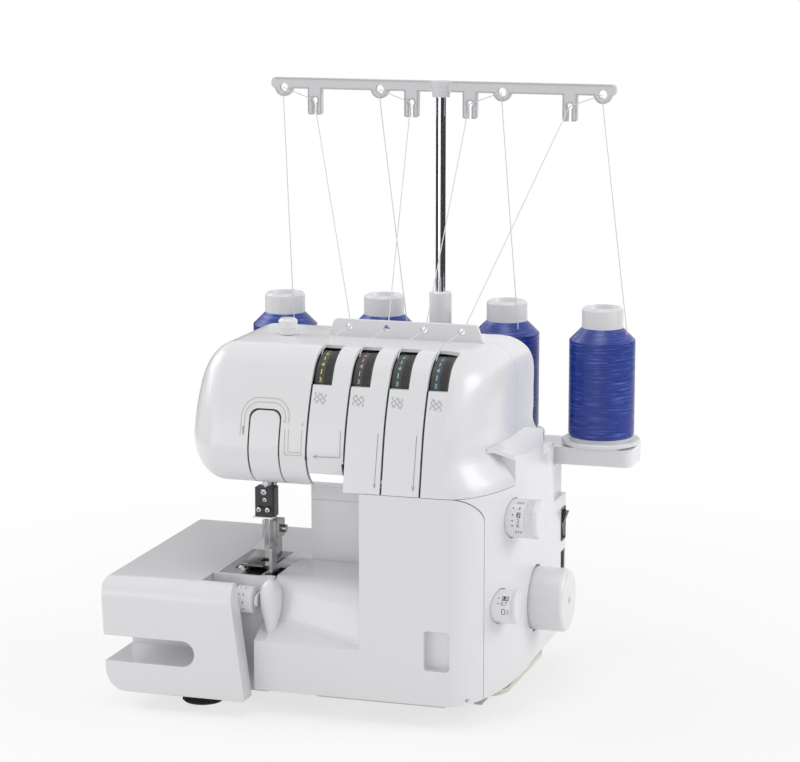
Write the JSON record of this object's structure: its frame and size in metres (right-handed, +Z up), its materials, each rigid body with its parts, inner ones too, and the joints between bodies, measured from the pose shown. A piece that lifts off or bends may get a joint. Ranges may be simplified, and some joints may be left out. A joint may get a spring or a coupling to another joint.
{
  "type": "overlock sewing machine",
  "caption": "Domestic overlock sewing machine with a free arm, pull-off extension table, swing-down looper cover, tension dials, thread tree and blue thread spools.",
  "frame": {"origin": "on the table under the middle of the machine's outline", "axes": "+X to the machine's right (handwheel side), -Y to its front (sewing side), +Z up"},
  "size_m": [0.3708, 0.282, 0.472],
  "materials": {
    "white_cover": "glossy moulded",
    "white_trim": "satin moulded",
    "cream_base": "satin moulded",
    "dark_trim": "satin moulded",
    "black_rubber": "matte",
    "cast_alloy": "as cast",
    "steel": "ground",
    "bright_chrome": "polished",
    "bush_metal": "machined",
    "blue_thread": "wound",
    "pale_thread": "spun"
  },
  "bodies": {
    "machine": {"front_cover": "white_cover", "rear_cover": "white_cover", "side_cover": "white_cover", "column_cover": "white_cover", "bed_cover": "white_cover", "take_up_cover": "white_cover", "spool_stand": "white_cover", "thread_guide_plate": "white_trim", "pole_sleeve": "white_trim", "spool_pads": "white_trim", "spool_pins": "white_trim", "spool_cores": "white_trim", "base_plate": "cream_base", "switch_housing": "dark_trim", "controller_socket": "dark_trim", "rubber_feet": "black_rubber", "drive_belt": "black_rubber", "main_frame": "cast_alloy", "motor_body": "steel", "lower_knife": "steel", "needle_plate": "steel", "presser_spring": "steel", "tension_posts": "steel", "tension_discs": "steel", "cover_hinge_rod": "steel", "cover_screws": "steel", "guide_bushes": "bush_metal", "spool_threads": "blue_thread", "threads_lead": "pale_thread"},
    "drive_shaft": {"handwheel": "white_cover", "main_shaft": "steel", "shaft_pulley": "steel"},
    "motor_rotor": {"motor_pulley": "steel"},
    "needle_drive": {"needle_bar": "steel", "needle_clamp": "dark_trim", "needles": "steel"},
    "take_up": {"take_up_lever": "steel"},
    "looper_upper": {"upper_looper": "steel"},
    "looper_lower": {"lower_looper": "steel"},
    "knife_upper": {"upper_knife": "steel"},
    "feed": {"feed_dogs": "steel"},
    "presser": {"presser_bar": "steel", "presser_foot": "steel"},
    "lifter": {"presser_lever": "white_cover"},
    "pressure": {"pressure_knob": "white_cover"},
    "tension_1": {"tension_dial_1": "dark_trim"},
    "tension_2": {"tension_dial_2": "dark_trim"},
    "tension_3": {"tension_dial_3": "dark_trim"},
    "tension_4": {"tension_dial_4": "dark_trim"},
    "length_dial": {"stitch_length_dial": "white_cover"},
    "ratio_dial": {"feed_ratio_dial": "white_cover"},
    "width_dial": {"stitch_width_dial": "white_cover"},
    "front_door": {"looper_cover": "white_cover"},
    "table": {"extension_table": "white_cover"},
    "rocker": {"power_rocker": "dark_trim"},
    "thread_tree": {"stand_pole": "bright_chrome", "guide_bar": "white_trim", "threads_rise": "pale_thread", "threads_fall": "pale_thread"}
  },
  "joints": [
    {"name": "handwheel_turn", "type": "hinge", "parent": "machine", "child": "drive_shaft", "pos_m": [0.153, -0.004, 0.076], "axis": [1, 0, 0], "continuous": true},
    {"name": "motor_turn", "type": "hinge", "parent": "machine", "child": "motor_rotor", "pos_m": [0.08, 0.052, 0.048], "axis": [1, 0, 0], "continuous": true},
    {"name": "needle_stroke", "type": "slide", "parent": "machine", "child": "needle_drive", "axis": [0, 0, 1], "range_m": [-0.0254, 0]},
    {"name": "take_up_swing", "type": "hinge", "parent": "machine", "child": "take_up", "pos_m": [-0.0545, -0.05, 0.216], "axis": [1, 0, 0], "range_deg": [0, 12]},
    {"name": "upper_looper_swing", "type": "hinge", "parent": "machine", "child": "looper_upper", "pos_m": [-0.04, -0.06, 0.052], "axis": [0, -1, 0], "range_deg": [0, 20]},
    {"name": "lower_looper_swing", "type": "hinge", "parent": "machine", "child": "looper_lower", "pos_m": [-0.05, -0.06, 0.034], "axis": [0, -1, 0], "range_deg": [0, 26]},
    {"name": "knife_stroke", "type": "slide", "parent": "machine", "child": "knife_upper", "axis": [0, 0, 1], "range_m": [-0.008, 0]},
    {"name": "feed_stroke", "type": "slide", "parent": "machine", "child": "feed", "axis": [0, 1, 0], "range_m": [-0.002, 0]},
    {"name": "presser_lift", "type": "slide", "parent": "machine", "child": "presser", "axis": [0, 0, 1], "range_m": [0, 0.006]},
    {"name": "presser_lever_swing", "type": "hinge", "parent": "machine", "child": "lifter", "pos_m": [-0.078, 0.05, 0.19], "axis": [0, 1, 0], "range_deg": [0, 90]},
    {"name": "pressure_turn", "type": "hinge", "parent": "machine", "child": "pressure", "pos_m": [-0.0706, -0.028, 0.28], "axis": [0, 0, 1], "range_deg": [-360, 360]},
    {"name": "tension_turn_1", "type": "hinge", "parent": "machine", "child": "tension_1", "pos_m": [-0.0182, -0.0675, 0.25], "axis": [1, 0, 0], "range_deg": [-150, 150]},
    {"name": "tension_turn_2", "type": "hinge", "parent": "machine", "child": "tension_2", "pos_m": [0.0123, -0.0675, 0.25], "axis": [1, 0, 0], "range_deg": [-150, 150]},
    {"name": "tension_turn_3", "type": "hinge", "parent": "machine", "child": "tension_3", "pos_m": [0.0428, -0.0675, 0.25], "axis": [1, 0, 0], "range_deg": [-150, 150]},
    {"name": "tension_turn_4", "type": "hinge", "parent": "machine", "child": "tension_4", "pos_m": [0.0733, -0.0675, 0.25], "axis": [1, 0, 0], "range_deg": [-150, 150]},
    {"name": "stitch_length_turn", "type": "hinge", "parent": "machine", "child": "length_dial", "pos_m": [0.126, -0.06, 0.153], "axis": [1, 0, 0], "range_deg": [-120, 120]},
    {"name": "feed_ratio_turn", "type": "hinge", "parent": "machine", "child": "ratio_dial", "pos_m": [0.126, -0.0795, 0.0883], "axis": [1, 0, 0], "range_deg": [-100, 100]},
    {"name": "stitch_width_turn", "type": "hinge", "parent": "machine", "child": "width_dial", "pos_m": [-0.0765, -0.111, 0.086], "axis": [1, 0, 0], "range_deg": [-120, 120]},
    {"name": "front_cover_swing", "type": "hinge", "parent": "machine", "child": "front_door", "pos_m": [0.018, -0.112, 0.0215], "axis": [1, 0, 0], "range_deg": [0, 88]},
    {"name": "table_pull", "type": "slide", "parent": "machine", "child": "table", "axis": [-1, 0, 0], "range_m": [0, 0.12]},
    {"name": "power_rock", "type": "hinge", "parent": "machine", "child": "rocker", "pos_m": [0.123, 0.083, 0.116], "axis": [0, 1, 0], "range_deg": [-14, 0]},
    {"name": "tree_lift", "type": "slide", "parent": "machine", "child": "thread_tree", "axis": [0, 0, 1], "range_m": [-0.1, 0], "deforming": ["threads_rise", "threads_fall"]}
  ],
  "couplings": [
    {"joint": "motor_turn", "follows": "handwheel_turn", "ratio": 3},
    {"joint": "take_up_swing", "follows": "needle_stroke", "rad_per_m": -7.9021},
    {"joint": "upper_looper_swing", "follows": "needle_stroke", "rad_per_m": -13.399},
    {"joint": "lower_looper_swing", "follows": "needle_stroke", "rad_per_m": -17.522},
    {"joint": "knife_stroke", "follows": "needle_stroke", "ratio": 0.3},
    {"joint": "feed_stroke", "follows": "needle_stroke", "ratio": 0.075},
    {"joint": "presser_lever_swing", "follows": "presser_lift", "rad_per_m": 260.35}
  ]
}
